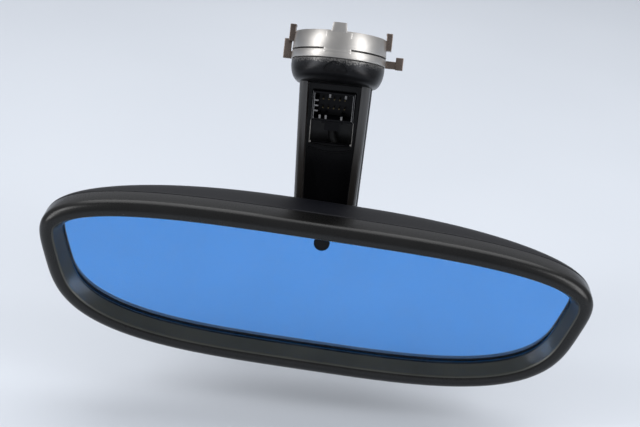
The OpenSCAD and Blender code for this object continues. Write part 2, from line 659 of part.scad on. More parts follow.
foot_housing();
spring_clip();
foot_screws();
arm_shell();
arm_rear_cover();
cover_screws();
connector_bezel();
connector_housing();
connector_pins();
connector_latch();
arm_harness();
ball_stud();
stud_screws();
ball_liner();
friction_cup();
front_bezel();
rear_housing();
front_glass();
gel_layer();
cell_seal();
mirror_glass();
busbar_clips();
foam_pad();
glass_carrier();
circuit_board();
board_components();
board_spacers();
board_screws();
glare_sensor();
sensor_window();
ambient_sensor();
ambient_lens();
ball_socket();
socket_retainer();
retainer_screws();
head_harness();
harness_plug();
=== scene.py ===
"""Interior rearview mirror: looks, studio and camera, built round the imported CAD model."""

import math

import bmesh
import bpy
from mathutils import Matrix, Vector


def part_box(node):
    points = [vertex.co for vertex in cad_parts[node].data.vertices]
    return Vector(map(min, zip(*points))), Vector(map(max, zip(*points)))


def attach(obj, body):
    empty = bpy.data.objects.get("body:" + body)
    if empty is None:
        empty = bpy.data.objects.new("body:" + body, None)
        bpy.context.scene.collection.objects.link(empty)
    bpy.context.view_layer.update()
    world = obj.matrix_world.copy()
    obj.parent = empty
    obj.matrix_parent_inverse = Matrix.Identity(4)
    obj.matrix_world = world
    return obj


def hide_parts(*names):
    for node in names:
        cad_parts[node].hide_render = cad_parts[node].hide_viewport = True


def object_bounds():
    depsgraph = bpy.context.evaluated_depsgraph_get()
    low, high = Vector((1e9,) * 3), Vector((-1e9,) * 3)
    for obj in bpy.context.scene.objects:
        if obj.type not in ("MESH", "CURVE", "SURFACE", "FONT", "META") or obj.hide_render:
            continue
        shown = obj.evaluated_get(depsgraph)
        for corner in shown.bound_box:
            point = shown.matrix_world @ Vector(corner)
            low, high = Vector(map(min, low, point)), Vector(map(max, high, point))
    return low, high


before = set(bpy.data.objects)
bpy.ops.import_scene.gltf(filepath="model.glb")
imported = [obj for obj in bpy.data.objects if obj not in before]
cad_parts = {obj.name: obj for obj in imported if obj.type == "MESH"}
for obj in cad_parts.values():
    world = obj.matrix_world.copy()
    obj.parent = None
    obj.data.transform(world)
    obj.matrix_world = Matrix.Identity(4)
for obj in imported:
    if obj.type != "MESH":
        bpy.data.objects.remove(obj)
cad_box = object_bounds()

MM = 0.001

# ---------------------------------------------------------------- sizes (mm)
HALF_W = 125.0
TOP = 35.5
BOTTOM = 41.0
SQUARE = 3.35
TAPER = 0.105
BEZEL_DEPTH = 14.0
HOUSING_DEPTH = 28.0
WALL = 2.2
LIP_W = 7.2
LIP_R = 4.6
BEVEL_Y = 1.6
GLASS_INSET = 9.9
GLASS_DEPTH = 9.3
FRONT_GLASS_T = 1.8
GEL_T = 0.3
HEAD_ROLL = 3.4
HEAD_SWIVEL = 2.4
COLLAR_R = 14.0
BALL_DEPTH = 30.0
SEAT_LEAN = 24.0
BOWL_H = 18.0
BOWL_R = 22.2
SEAT_R = 17.5
COLLAR_H = 4.0
BOWL_RIM_Z = -7.3
CLIP_T = 0.8
ARM_TOP_W = 33.5
ARM_LOW_W = 30.0
ARM_T = 14.0
RAIL_W = 4.0
CHANNEL = 4.0
SETBACK = 23.2
DROP = 98.0
WEB_T = 2.0

ARM_Y = -BOWL_H * math.sin(math.radians(SEAT_LEAN)) - 0.7
ARM_FRONT = ARM_Y - ARM_T / 2
BALL = Vector((0.0, ARM_FRONT - SETBACK, -DROP))
HOUSING_Y = BEZEL_DEPTH + 0.2
# Normal of the foot's seat and of the bowl's underside
UNDER_NORMAL = Vector((0, math.sin(math.radians(SEAT_LEAN)), math.cos(math.radians(SEAT_LEAN))))


def rot_x(deg):
    return Matrix.Rotation(math.radians(deg), 4, "X")


def rot_y(deg):
    return Matrix.Rotation(math.radians(deg), 4, "Y")


def rot_z(deg):
    return Matrix.Rotation(math.radians(deg), 4, "Z")


SCALE = Matrix.Scale(MM, 4)
HEAD_TO_ROW = (Matrix.Translation(BALL) @ rot_z(HEAD_SWIVEL) @ rot_y(HEAD_ROLL)
               @ Matrix.Translation((0, -BALL_DEPTH, 0)))
HEAD = SCALE @ HEAD_TO_ROW
FOOT = SCALE @ rot_x(-SEAT_LEAN)
ROW = SCALE


# ---------------------------------------------------------------- camera
# The head sits a little below the lens axis, pitched 24 degrees and rolled.
FOCAL_PX = 1333.0
PICTURE_PX = 640.0
SENSOR_MM = 36.0
PITCH = 24.0
ROLL = 8.78
YAW = 0.64
HEAD_IN_CAMERA = Vector((-3.5, 610.1, -38.1))


def make_camera():
    rot = rot_y(ROLL) @ rot_x(PITCH) @ rot_z(YAW)
    head_to_cam = Matrix.Translation(HEAD_IN_CAMERA) @ rot
    cam_to_row = HEAD_TO_ROW @ head_to_cam.inverted()
    # Blender's camera looks along -Z with +Y up
    pose = cam_to_row @ rot_x(90)
    pose.translation = pose.translation * MM
    data = bpy.data.cameras.new("camera")
    data.sensor_width = SENSOR_MM
    data.lens = SENSOR_MM * FOCAL_PX / PICTURE_PX
    data.clip_start = 0.01
    data.clip_end = 50.0
    cam = bpy.data.objects.new("camera", data)
    bpy.context.scene.collection.objects.link(cam)
    cam.matrix_world = pose
    bpy.context.scene.camera = cam


make_camera()


# ---------------------------------------------------------------- mesh helpers
def finish_mesh(name, mesh, mat, body, nodes=(), angle=35.0):
    """Links a mesh as a piece that rides on a CAD body and stands for CAD nodes."""
    mesh.shade_smooth()
    mesh.set_sharp_from_angle(angle=math.radians(angle))
    obj = bpy.data.objects.new(name, mesh)
    bpy.context.scene.collection.objects.link(obj)
    for m in (mat if isinstance(mat, (list, tuple)) else [mat]):
        mesh.materials.append(m)
    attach(obj, body)
    if nodes:
        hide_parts(*nodes)
    return obj


def mesh_of(name, verts, faces, place):
    mesh = bpy.data.meshes.new(name)
    mesh.from_pydata([place @ Vector(v) for v in verts], [], faces)
    mesh.update()
    bm = bmesh.new()
    bm.from_mesh(mesh)
    bmesh.ops.recalc_face_normals(bm, faces=bm.faces)
    bm.to_mesh(mesh)
    bm.free()
    return mesh


def loft(rings, closed=True, caps=False):
    """Vertices and faces joining equal rings; closed joins the last ring to the first."""
    n = len(rings[0])
    verts = [p for ring in rings for p in ring]
    faces = []
    count = len(rings) if closed else len(rings) - 1
    for i in range(count):
        j = (i + 1) % len(rings)
        for q in range(n):
            r = (q + 1) % n
            faces.append((i * n + q, j * n + q, j * n + r, i * n + r))
    if caps:
        faces.append(tuple(range(n - 1, -1, -1)))
        faces.append(tuple((len(rings) - 1) * n + q for q in range(n)))
    return verts, faces


def prism(outline, y0, y1):
    """Prism of an XZ outline between depths y0 and y1."""
    n = len(outline)
    verts = [(x, y0, z) for x, z in outline] + [(x, y1, z) for x, z in outline]
    faces = [tuple(range(n)), tuple(range(2 * n - 1, n - 1, -1))]
    for q in range(n):
        r = (q + 1) % n
        faces.append((q, n + q, n + r, r))
    return verts, faces


def block(lo, hi):
    """Box between two corners."""
    x0, y0, z0 = lo
    x1, y1, z1 = hi
    return prism([(x0, z0), (x1, z0), (x1, z1), (x0, z1)], y0, y1)


def rod(x, z, y0, y1, r, n=48):
    """Cylinder along Y."""
    turns = [2 * math.pi * i / n for i in range(n)]
    return prism([(x + r * math.cos(t), z + r * math.sin(t)) for t in turns], y0, y1)


def bevelled(mesh, width, segments=3, angle=30.0):
    """Rounds a mesh's sharp edges in place; width in mm."""
    obj = bpy.data.objects.new("tmp", mesh)
    bpy.context.scene.collection.objects.link(obj)
    mod = obj.modifiers.new("bevel", "BEVEL")
    mod.width = width * MM
    mod.segments = segments
    mod.limit_method = "ANGLE"
    mod.angle_limit = math.radians(angle)
    mod.use_clamp_overlap = True
    return baked(obj)


def baked(obj):
    """The object's mesh with its modifiers applied; the object is removed."""
    bpy.context.view_layer.update()
    deps = bpy.context.evaluated_depsgraph_get()
    mesh = bpy.data.meshes.new_from_object(obj.evaluated_get(deps))
    bpy.data.objects.remove(obj)
    return mesh


def cut(mesh, *tools):
    """The mesh less each tool mesh, one after another."""
    for tool in tools:
        a = bpy.data.objects.new("tmp_a", mesh)
        b = bpy.data.objects.new("tmp_b", tool)
        for o in (a, b):
            bpy.context.scene.collection.objects.link(o)
        mod = a.modifiers.new("cut", "BOOLEAN")
        mod.operation = "DIFFERENCE"
        mod.solver = "EXACT"
        mod.object = b
        mesh = baked(a)
        bpy.data.objects.remove(b)
    return mesh


def joined(meshes):
    """One mesh from several."""
    bm = bmesh.new()
    for m in meshes:
        bm.from_mesh(m)
    out = bpy.data.meshes.new("joined")
    bm.to_mesh(out)
    bm.free()
    return out


# ---------------------------------------------------------------- materials
def new_material(name):
    mat = bpy.data.materials.new(name)
    mat.use_nodes = True
    nt = mat.node_tree
    return mat, nt, nt.nodes["Principled BSDF"]


def coords(nt, scale=(1, 1, 1)):
    tex = nt.nodes.new("ShaderNodeTexCoord")
    mapping = nt.nodes.new("ShaderNodeMapping")
    mapping.inputs["Scale"].default_value = scale
    nt.links.new(tex.outputs["Object"], mapping.inputs["Vector"])
    return mapping.outputs["Vector"]


def noise(nt, vector, scale, detail=2.0, rough=0.5):
    node = nt.nodes.new("ShaderNodeTexNoise")
    node.inputs["Scale"].default_value = scale
    node.inputs["Detail"].default_value = detail
    node.inputs["Roughness"].default_value = rough
    nt.links.new(vector, node.inputs["Vector"])
    return node.outputs["Fac"]


def ranged(nt, value, low, high, lo_in=0.3, hi_in=0.7):
    node = nt.nodes.new("ShaderNodeMapRange")
    node.inputs["From Min"].default_value = lo_in
    node.inputs["From Max"].default_value = hi_in
    node.inputs["To Min"].default_value = low
    node.inputs["To Max"].default_value = high
    nt.links.new(value, node.inputs["Value"])
    return node.outputs["Result"]


def two_colours(nt, value, a, b):
    ramp = nt.nodes.new("ShaderNodeValToRGB")
    ramp.color_ramp.elements[0].position = 0.35
    ramp.color_ramp.elements[1].position = 0.65
    ramp.color_ramp.elements[0].color = (*a, 1)
    ramp.color_ramp.elements[1].color = (*b, 1)
    nt.links.new(value, ramp.inputs["Fac"])
    return ramp.outputs["Color"]


def moulded(name, colour, rough, grain=2600.0, bump=0.02, spread=0.06, vary=0.12,
            metallic=0.0, specular=0.5, stretch=(1, 1, 1)):
    """Plastic, paint or metal: fine grain, slow colour change and uneven gloss."""
    mat, nt, bsdf = new_material(name)
    fine = noise(nt, coords(nt, stretch), grain, 3.0)
    slow = noise(nt, coords(nt), 45.0, 3.0)
    darker = tuple(c * (1 - vary) for c in colour)
    lighter = tuple(min(1.0, c * (1 + vary)) for c in colour)
    nt.links.new(two_colours(nt, slow, darker, lighter), bsdf.inputs["Base Color"])
    mixed = nt.nodes.new("ShaderNodeMath")
    mixed.operation = "ADD"
    nt.links.new(ranged(nt, slow, rough - spread / 2, rough + spread / 2), mixed.inputs[0])
    nt.links.new(ranged(nt, fine, -spread / 2, spread / 2), mixed.inputs[1])
    nt.links.new(mixed.outputs[0], bsdf.inputs["Roughness"])
    bsdf.inputs["Metallic"].default_value = metallic
    bsdf.inputs["Specular IOR Level"].default_value = specular
    if bump:
        node = nt.nodes.new("ShaderNodeBump")
        node.inputs["Strength"].default_value = 0.5
        node.inputs["Distance"].default_value = bump * MM
        nt.links.new(fine, node.inputs["Height"])
        nt.links.new(node.outputs["Normal"], bsdf.inputs["Normal"])
    return mat


def clear(name, colour, ior=1.5):
    """Clear glass or gel with faint smudges."""
    mat, nt, bsdf = new_material(name)
    smudge = noise(nt, coords(nt), 30.0, 4.0)
    nt.links.new(ranged(nt, smudge, 0.0, 0.012, 0.45, 0.8), bsdf.inputs["Roughness"])
    bsdf.inputs["Base Color"].default_value = (*colour, 1)
    bsdf.inputs["Transmission Weight"].default_value = 1.0
    bsdf.inputs["IOR"].default_value = ior
    return mat


def graphite_painted_light(name, rim_z, base_z):
    """Cast dark metal finish with fine speckle, coloured by height: light and speckled under the clip as a painted
    highlight, black where the bowl meets the arm as painted shade.
    """
    mat, nt, bsdf = new_material(name)
    tex = nt.nodes.new("ShaderNodeTexCoord")
    along = nt.nodes.new("ShaderNodeVectorMath")
    along.operation = "DOT_PRODUCT"
    along.inputs[1].default_value = UNDER_NORMAL
    nt.links.new(tex.outputs["Object"], along.inputs[0])
    speck = noise(nt, coords(nt), 1500.0, 3.0)
    wobble = ranged(nt, speck, -0.0016, 0.0016)
    total = nt.nodes.new("ShaderNodeMath")
    total.operation = "ADD"
    nt.links.new(along.outputs["Value"], total.inputs[0])
    nt.links.new(wobble, total.inputs[1])
    share = ranged(nt, total.outputs[0], 0.0, 1.0, base_z * MM, rim_z * MM)
    # Ramp from the bowl's base to its rim: painted shade at the bottom, painted highlight near the rim
    ramp = nt.nodes.new("ShaderNodeValToRGB")
    ramp.color_ramp.elements[0].position = 0.45
    ramp.color_ramp.elements[0].color = (0.005, 0.005, 0.006, 1)
    ramp.color_ramp.elements[1].position = 1.0
    ramp.color_ramp.elements[1].color = (0.17, 0.165, 0.16, 1)
    middle = ramp.color_ramp.elements.new(0.80)
    middle.color = (0.018, 0.019, 0.022, 1)
    nt.links.new(share, ramp.inputs["Fac"])
    nt.links.new(ramp.outputs["Color"], bsdf.inputs["Base Color"])
    nt.links.new(ranged(nt, speck, 0.30, 0.42), bsdf.inputs["Roughness"])
    bsdf.inputs["Metallic"].default_value = 0.55
    bsdf.inputs["Specular IOR Level"].default_value = 0.35
    bump = nt.nodes.new("ShaderNodeBump")
    bump.inputs["Strength"].default_value = 0.5
    bump.inputs["Distance"].default_value = 0.02 * MM
    nt.links.new(speck, bump.inputs["Height"])
    nt.links.new(bump.outputs["Normal"], bsdf.inputs["Normal"])
    return mat


BEZEL = moulded("bezel_black", (0.0045, 0.0045, 0.0045), 0.28, grain=3200, bump=0.012, specular=0.36)
# Inner bevel: a lighter grey-green copy of the bezel plastic, a painted sheen
BEVEL = moulded("bezel_inner_painted_sheen", (0.030, 0.032, 0.028), 0.34, grain=3600, bump=0.02, specular=0.55)
HOUSING = moulded("housing_black", (0.0035, 0.004, 0.0065), 0.40, grain=2400, bump=0.03, specular=0.24)
# Arm shell plastic in two copies: the rails lighter, warmer and glossier as a painted highlight, the channel and
# window sill near black as painted shade
RAIL_HIGHLIGHT = moulded("rail_black_painted_highlight", (0.014, 0.012, 0.0105), 0.32, grain=3000, bump=0.008, specular=0.90)
CHANNEL_SHADE = moulded("channel_black_painted_shade", (0.002, 0.002, 0.0025), 0.30, grain=1800, bump=0.003,
                        spread=0.04, specular=0.18)
COVER = moulded("cover_black", (0.010, 0.010, 0.011), 0.42, grain=2600, bump=0.02, specular=0.4)
STEEL = moulded("spring_steel", (0.47, 0.455, 0.435), 0.42, grain=900, bump=0.006,
                metallic=1.0, vary=0.16, stretch=(1, 1, 6))
# Darker brown copy of the spring steel for the clip's ears and tabs
EAR = moulded("spring_steel_dark_brown", (0.19, 0.155, 0.135), 0.28, grain=1400, bump=0.01, metallic=1.0, vary=0.3)
SCREW = moulded("screw_steel", (0.55, 0.55, 0.56), 0.3, grain=2000, bump=0.004, metallic=1.0)
STUD = moulded("stud_steel", (0.50, 0.51, 0.53), 0.26, grain=700, bump=0.004, metallic=1.0,
               stretch=(1, 8, 1))
# Pale grey of the trim's side bars: a painted glint on their edges
TRIM_GLINT = moulded("trim_grey", (0.26, 0.25, 0.24), 0.28, grain=2600, bump=0.01)
CONNECTOR = moulded("connector_black", (0.002, 0.002, 0.003), 0.40, grain=2600, bump=0.01, specular=0.15)
# Light grey of the rib fronts and socket rims: a painted highlight
RIB_GLINT = moulded("connector_rib_glint", (0.16, 0.16, 0.165), 0.35, grain=2600, bump=0.01)
# Pin brass darkened as painted shade deep inside the socket
BRASS_SHADED = moulded("pin_brass", (0.10, 0.08, 0.045), 0.5, grain=2000, bump=0.0, metallic=1.0)
HARNESS = moulded("harness_black", (0.006, 0.006, 0.0065), 0.55, grain=1600, bump=0.05, specular=0.2)
NYLON = moulded("nylon", (0.62, 0.60, 0.54), 0.42, grain=1500, bump=0.01)
GREY_CUP = moulded("cup_grey", (0.13, 0.135, 0.145), 0.45, grain=1800, bump=0.02)
SOCKET = moulded("socket_grey", (0.055, 0.055, 0.06), 0.5, grain=1800, bump=0.03)
BOARD = moulded("board_green", (0.02, 0.13, 0.06), 0.35, grain=1500, bump=0.01)
CHIP = moulded("chip_black", (0.02, 0.02, 0.022), 0.5, grain=2200, bump=0.02)
SEAL = moulded("seal_grey", (0.03, 0.03, 0.032), 0.5, grain=1800, bump=0.01)
FOAM = moulded("foam", (0.04, 0.04, 0.04), 0.8, grain=2600, bump=0.1)
COPPER = moulded("clip_copper", (0.60, 0.42, 0.22), 0.3, grain=2000, bump=0.0, metallic=1.0)
LENS = moulded("smoked_lens", (0.002, 0.002, 0.003), 0.10, grain=900, bump=0.0, spread=0.02,
               specular=0.15)
WHITE = moulded("plug_white", (0.70, 0.69, 0.64), 0.45, grain=1800, bump=0.01)
# Mirror coat blue: partly the mirror's own slight tint, partly a painted reflection of blue surroundings
MIRROR_TINT_REFLECTION = moulded("mirror_coat", (0.006, 0.35, 0.93), 0.035, grain=60, bump=0.0, spread=0.012,
                 vary=0.02, metallic=1.0)
CLEAR = clear("front_glass", (0.93, 0.97, 1.0))
GEL = clear("gel", (0.86, 0.93, 0.95), ior=1.46)
# Foot bowl: painted highlight near the rim, painted shade toward the arm
GRAPHITE_PAINTED_LIGHT = graphite_painted_light("graphite_painted_light", BOWL_RIM_Z, -BOWL_H)

CARRIED = {
    "foot_screws": SCREW, "cover_screws": SCREW,
    "connector_pins": BRASS_SHADED, "connector_latch": CONNECTOR, "arm_harness": HARNESS, "ball_stud": STUD,
    "stud_screws": SCREW, "ball_liner": NYLON, "friction_cup": GREY_CUP, "front_glass": CLEAR,
    "cell_seal": SEAL, "mirror_glass": MIRROR_TINT_REFLECTION, "busbar_clips": COPPER, "foam_pad": FOAM,
    "glass_carrier": CHIP, "circuit_board": BOARD, "board_components": CHIP, "board_spacers": NYLON,
    "board_screws": SCREW, "glare_sensor": CHIP, "sensor_window": LENS, "ambient_sensor": CHIP,
    "ambient_lens": LENS, "ball_socket": SOCKET, "socket_retainer": SOCKET, "retainer_screws": SCREW,
    "head_harness": HARNESS, "harness_plug": WHITE,
}
for node_name, mat in CARRIED.items():
    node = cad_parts[node_name]
    node.data.materials.clear()
    node.data.materials.append(mat)


# ---------------------------------------------------------------- head
def signed_pow(v, p):
    """Power that keeps the sign."""
    return math.copysign(abs(v) ** p, v)


def outline_pt(t, a, top, bottom, n, k):
    """Point of a rounded outline of squareness n, whose width changes with height by k."""
    s = math.sin(t)
    z = (top if s >= 0 else bottom) * signed_pow(s, 2 / n)
    return a * signed_pow(math.cos(t), 2 / n) * (1 + k * z / bottom), z


def inset_pt(t, d, a, top, bottom, n, k):
    """The outline's point at t, moved inwards by d."""
    step = 0.004
    x, z = outline_pt(t, a, top, bottom, n, k)
    x1, z1 = outline_pt(t + step, a, top, bottom, n, k)
    x0, z0 = outline_pt(t - step, a, top, bottom, n, k)
    dx, dz = x1 - x0, z1 - z0
    length = math.hypot(dx, dz)
    return x - d * dz / length, z + d * dx / length


RING_N = 288
SHEEN_BEVEL_BANDS = range(1, 9)
ANGLES = [2 * math.pi * (i + 0.5) / RING_N for i in range(RING_N)]


def head_ring(d, y):
    pts = [inset_pt(t, d, HALF_W, TOP, BOTTOM, SQUARE, TAPER) for t in ANGLES]
    return [(x, y, z) for x, z in pts]


def bezel_profile():
    """(inset, depth) points from the glass edge over the lip to the rear rim."""
    in_r = LIP_W - LIP_R
    pts = [(GLASS_INSET, GLASS_DEPTH - 0.9), (GLASS_INSET - 0.12, GLASS_DEPTH - 1.3)]
    steps = 14
    for i in range(steps + 1):
        t = math.pi / 2 * i / steps
        pts.append((LIP_R + in_r * math.cos(t), BEVEL_Y * (1 - math.sin(t))))
    for i in range(1, steps + 1):
        t = math.pi / 2 * i / steps
        pts.append((0.05 + LIP_R * (1 - math.sin(t)), LIP_R * (1 - math.cos(t))))
    pts += [(0.05, BEZEL_DEPTH - 0.5), (0.14, BEZEL_DEPTH - 0.18), (0.4, BEZEL_DEPTH)]
    pts += [(WALL, BEZEL_DEPTH), (WALL, LIP_R + 1), (LIP_R - 0.6, WALL + 0.4), (LIP_R + 1, WALL + 0.4)]
    pts += [(GLASS_INSET - WALL, GLASS_DEPTH - 0.1), (GLASS_INSET, GLASS_DEPTH - 0.1)]
    return pts


verts, faces = loft([head_ring(d, y) for d, y in bezel_profile()])
bezel = finish_mesh("bezel", mesh_of("bezel", verts, faces, HEAD), [BEZEL, BEVEL],
                    "head", ["front_bezel"], 40)
# The bands of the inner bevel take the painted sheen copy
for i, face in enumerate(bezel.data.polygons):
    face.material_index = 1 if i // RING_N in SHEEN_BEVEL_BANDS else 0


def housing_ring(v, w, y0, depth):
    """Ring of the housing at share v of its depth, w inside the bezel's outline."""
    fx = (1 - v ** 2) ** 0.62
    fz = (1 - v ** 4) ** 0.4
    a = COLLAR_R + (HALF_W - w - COLLAR_R) * fx
    top = COLLAR_R + (TOP - w - COLLAR_R) * fz
    bottom = COLLAR_R + (BOTTOM - w - COLLAR_R) * fz
    n = 2 + (SQUARE - 2) * fz
    pts = [outline_pt(t, a, top, bottom, n, TAPER * fx) for t in ANGLES]
    return [(p[0], y0 + depth * v, p[1]) for p in pts]


def housing_rings():
    steps = 44
    shares = [math.sin(math.pi / 2 * j / steps) for j in range(steps + 1)]
    rows = [(0, 0.5), (0.009, 0.16)] + [(v, 0.05) for v in [0.022] + shares[1:]]
    outer = [housing_ring(v, w, HOUSING_Y, HOUSING_DEPTH) for v, w in rows]
    inner = [housing_ring(v, WALL, HOUSING_Y, HOUSING_DEPTH - WALL) for v in reversed(shares)]
    return outer + inner


verts, faces = loft(housing_rings())
shell = mesh_of("housing", verts, faces, HEAD)
lens_lo, lens_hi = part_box("ambient_lens")
lens_mid = (lens_lo + lens_hi) / 2 / MM
lens_r = (lens_hi.z - lens_lo.z) / 2 / MM
verts, faces = rod(lens_mid.x, lens_mid.z, lens_lo.y / MM - 1, lens_hi.y / MM + 12, lens_r + 0.12)
shell = cut(shell, mesh_of("hole", verts, faces, ROW))
finish_mesh("housing", shell, HOUSING, "head", ["rear_housing"], 40)

# Dimming gel, a hair thinner than its cavity so that no two faces coincide
CELL_INSET = GLASS_INSET - 2
GEL_Y = GLASS_DEPTH + FRONT_GLASS_T
gel_ring = [head_ring(CELL_INSET + 1.5, GEL_Y + 0.06), head_ring(CELL_INSET + 1.5, GEL_Y + GEL_T - 0.06)]
verts, faces = loft(gel_ring, closed=False, caps=True)
finish_mesh("gel", mesh_of("gel", verts, faces, HEAD), GEL, "head", ["gel_layer"], 40)


# ---------------------------------------------------------------- arm
STUD_FLANGE_R = 9.4
STUD_SCREW_Z = 7.35
ARM_LOW = -DROP - STUD_FLANGE_R - 4.0
WEB_BACK = ARM_FRONT + CHANNEL + WEB_T
SPLIT_Y = WEB_BACK + 2
COVER_Y = ARM_FRONT + ARM_T


def under_z(y):
    """Height of the bowl's underside at depth y."""
    return (-BOWL_H - y * UNDER_NORMAL.y) / UNDER_NORMAL.z


SOCKET_FRONT = ARM_FRONT + 2.2
SOCKET_DEPTH = 7.0
SOCKET_BACK = SOCKET_FRONT + SOCKET_DEPTH + 1.4
WINDOW_W = 21.0
WINDOW_TOP = under_z(SOCKET_BACK) - 0.15
WINDOW_H = 27.0
LEDGE_Z = WINDOW_TOP - WINDOW_H
# Curved ledges under the window: radius and drop
LEDGES = ((60.0, 1.4), (31.0, 4.2))
LEDGE_HALF_W = 10.4


def arm_half_w(z):
    s = min(1.0, max(0.0, (-BOWL_H - z) / (DROP - BOWL_H) * 1.2))
    return (ARM_TOP_W + (ARM_LOW_W - ARM_TOP_W) * s) / 2


def arm_outline(d, z0, z1, rc, steps=10):
    """Front outline of the arm, d inside its edge, with lower corners of radius rc."""
    heights = [z1 + (z0 + rc - z1) * i / 5 for i in range(6)]
    side = [(arm_half_w(z) - d, z) for z in heights]
    for i in range(1, steps + 1):
        t = math.pi / 2 * i / steps
        side.append((arm_half_w(z0) - d - rc + rc * math.cos(t), z0 + rc - rc * math.sin(t)))
    return side + [(-x, z) for x, z in reversed(side)]


def arm_prism(d, z0, z1, y0, y1, rc):
    verts, faces = prism(arm_outline(d, z0, z1, rc), y0, y1)
    return mesh_of("arm", verts, faces, ROW)


def trimmed_to_foot(mesh):
    """Cuts away what lies above the bowl's underside."""
    bm = bmesh.new()
    bm.from_mesh(mesh)
    geom = bm.verts[:] + bm.edges[:] + bm.faces[:]
    res = bmesh.ops.bisect_plane(bm, geom=geom, plane_co=UNDER_NORMAL * -BOWL_H * MM,
                                 plane_no=UNDER_NORMAL, clear_outer=True)
    edges = [e for e in res["geom_cut"] if isinstance(e, bmesh.types.BMEdge)]
    bmesh.ops.holes_fill(bm, edges=edges)
    bmesh.ops.recalc_face_normals(bm, faces=bm.faces)
    bm.to_mesh(mesh)
    bm.free()
    return mesh


def make_arm():
    body = bevelled(arm_prism(0.03, ARM_LOW + 0.03, 4, ARM_FRONT, SPLIT_Y, 7), 2.6, 8, 60)
    channel = bevelled(arm_prism(RAIL_W, ARM_LOW + 3, 9, ARM_FRONT - 4, ARM_FRONT + CHANNEL, 4), 0.9, 4, 60)
    pocket = arm_prism(2, ARM_LOW + 2, WINDOW_TOP - 4, WEB_BACK, SPLIT_Y + 1, 5)
    window = mesh_of("window", *block((-WINDOW_W / 2, ARM_FRONT + 1, LEDGE_Z),
                                      (WINDOW_W / 2, COVER_Y + 9, WINDOW_TOP)), ROW)
    stud_holes = [mesh_of("hole", *rod(0, -DROP + dz, ARM_FRONT, WEB_BACK + 1, r), ROW)
                  for dz, r in ((0, 2.9), (-STUD_SCREW_Z, 1.3), (STUD_SCREW_Z, 1.3))]
    body = cut(body, channel, pocket, window, *stud_holes)
    body = trimmed_to_foot(body)
    body = bevelled(body, 0.9, 5, 48)
    ledges = []
    across = [-LEDGE_HALF_W + 2 * LEDGE_HALF_W * i / 40 for i in range(41)]
    for radius, drop in LEDGES:
        z = LEDGE_Z - drop + radius
        pts = [(x, z - math.sqrt(radius * radius - x * x)) for x in across]
        pts += [(x, z - math.sqrt((radius - 0.7) ** 2 - x * x)) for x in reversed(across)]
        strip = prism(pts, ARM_FRONT + CHANNEL - 0.8, ARM_FRONT + CHANNEL + 0.3)
        ledges.append(bevelled(mesh_of("ledge", *strip, ROW), 0.3, 3, 40))
    mesh = joined([body] + ledges)
    finish_mesh("arm", mesh, [RAIL_HIGHLIGHT, CHANNEL_SHADE], "arm", ["arm_shell"], 40)
    # Rails take the painted highlight copy, the channel floor the painted shade copy
    for p in mesh.polygons:
        c = p.center / MM
        inside = abs(c.x) < arm_half_w(c.z) - RAIL_W - 0.25 and c.y > ARM_FRONT + 0.5
        p.material_index = 1 if inside else 0


make_arm()

# Plug socket: thin walls with rounded rims, keying ribs and a dark floor; the rib fronts and the rims' front faces
# are painted light grey as highlights
SOCKET_W, SOCKET_H, SOCKET_WALL = 18.0, 12.5, 1.1
SOCKET_TOP = WINDOW_TOP - SOCKET_WALL - 0.15
SOCKET_LOW = SOCKET_TOP - SOCKET_H


def make_socket():
    half = SOCKET_W / 2
    box = mesh_of("socket", *block((-half - SOCKET_WALL, SOCKET_FRONT, SOCKET_LOW - SOCKET_WALL),
                                   (half + SOCKET_WALL, SOCKET_BACK, SOCKET_TOP + SOCKET_WALL)), ROW)
    hollow = mesh_of("hollow", *block((-half, SOCKET_FRONT - 1, SOCKET_LOW),
                                      (half, SOCKET_FRONT + SOCKET_DEPTH, SOCKET_TOP)), ROW)
    box = bevelled(cut(box, hollow), 0.3, 3, 40)
    dark = len(box.polygons)
    ribs = []

    def rib(x, z, w, h):
        low = (x - w / 2, SOCKET_FRONT + 0.25, z - h / 2)
        high = (x + w / 2, SOCKET_FRONT + 0.6 + SOCKET_DEPTH, z + h / 2)
        ribs.append(bevelled(mesh_of("rib", *block(low, high), ROW), 0.15, 2, 40))

    for k in (-1, 0, 1):
        rib(-half + 0.8, SOCKET_LOW + SOCKET_H / 2 + k * 2.6, 2, 0.8)
    for x in (-1.9, 5.6):
        rib(x, SOCKET_TOP - 0.8, 1, 2)
    for x in (-6.1, -3.2, 4.3):
        rib(x, SOCKET_LOW + 0.8, 1, 2)
    obj = finish_mesh("socket", joined([box] + ribs), [CONNECTOR, RIB_GLINT],
                      "arm", ["connector_housing"], 40)
    # Rib fronts and the front faces of the side walls take the painted highlight grey
    for i, face in enumerate(obj.data.polygons):
        front = face.center.y / MM < SOCKET_FRONT + 1.2
        side = abs(face.center.x / MM) > half - 0.4 and face.center.y / MM < SOCKET_FRONT + 0.35
        face.material_index = 1 if (i >= dark and front) or side else 0


